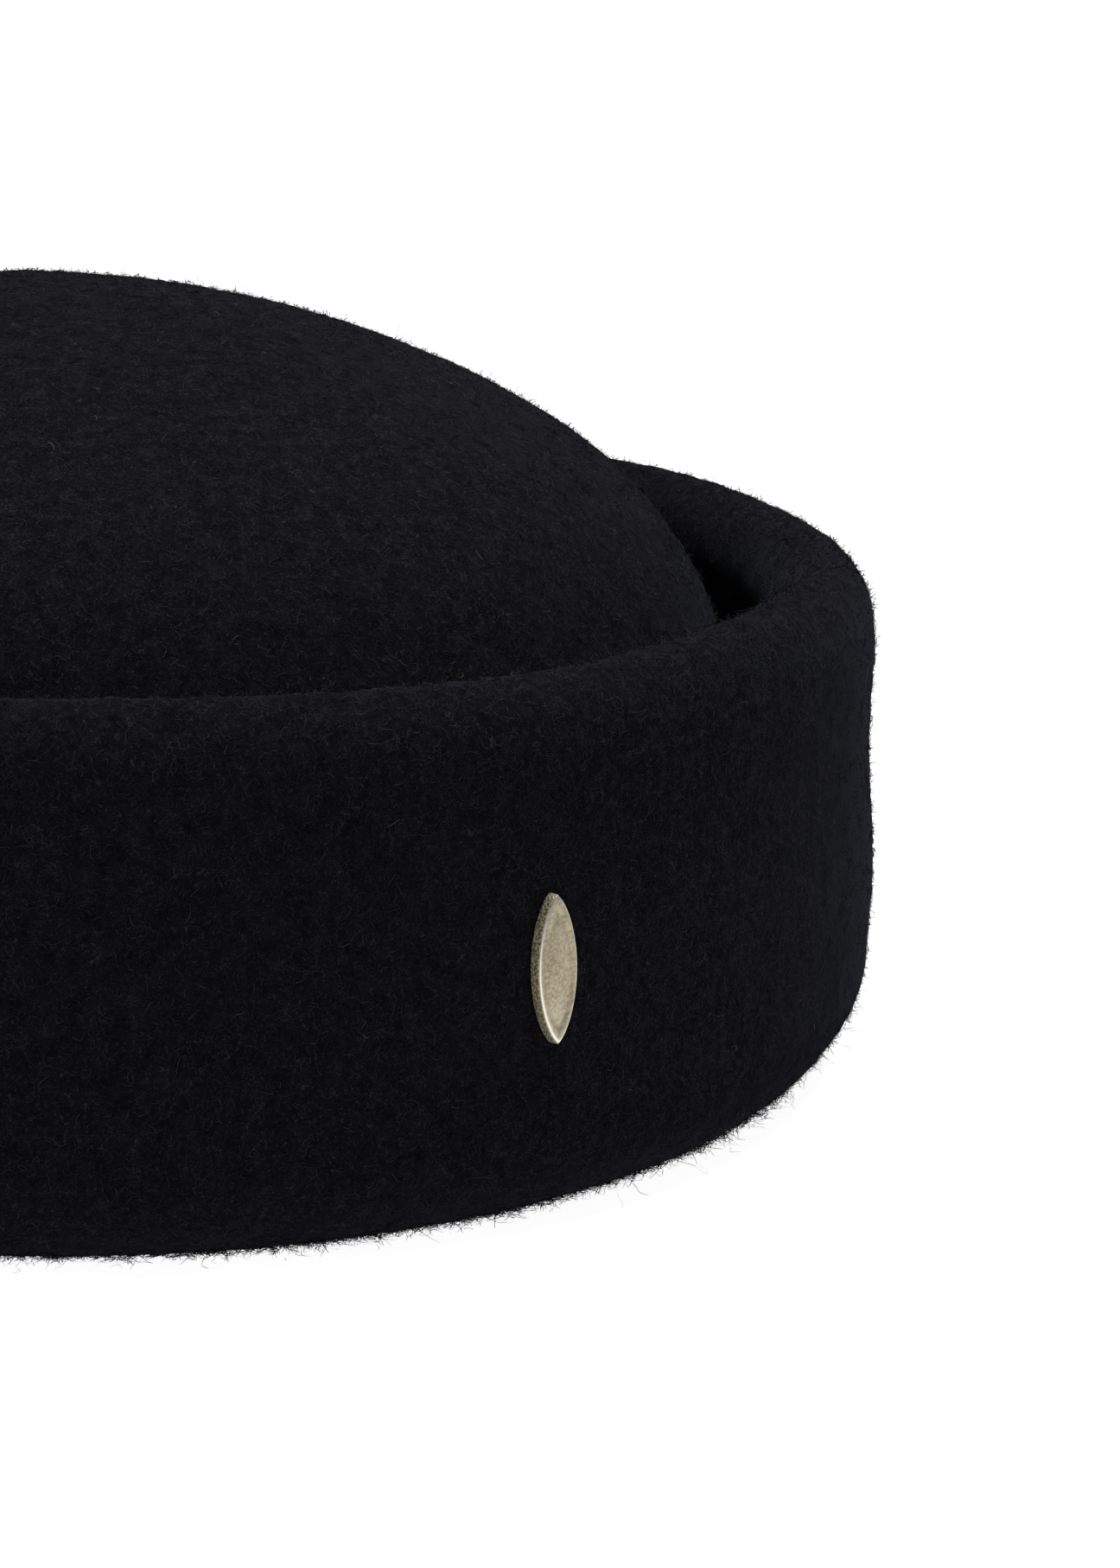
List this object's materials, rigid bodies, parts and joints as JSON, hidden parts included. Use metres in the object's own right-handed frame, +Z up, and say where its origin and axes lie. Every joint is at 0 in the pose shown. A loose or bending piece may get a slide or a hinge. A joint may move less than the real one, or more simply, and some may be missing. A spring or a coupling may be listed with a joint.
{
  "type": "felt toque with a turned-up cuff",
  "caption": "Brimless blocked felt hat: low smooth dome, tall turned-up cuff with a soft rolled rim, and a slim metal pin on the cuff.",
  "frame": {"origin": "centre of the overall box at its bottom, on the surface that the hat rests on", "axes": "+Z up, the hat's length along Y with the front at -Y, its width along X"},
  "size_m": [0.2008, 0.2398, 0.0958],
  "materials": {
    "navy_felt": "matte wool felt with short curly fuzz",
    "pale_brass": "satin cast",
    "clutch_steel": "plain satin"
  },
  "bodies": {
    "root": {"felt_body": "navy_felt", "pin_plate": "pale_brass", "pin_clutch": "clutch_steel"}
  },
  "joints": []
}
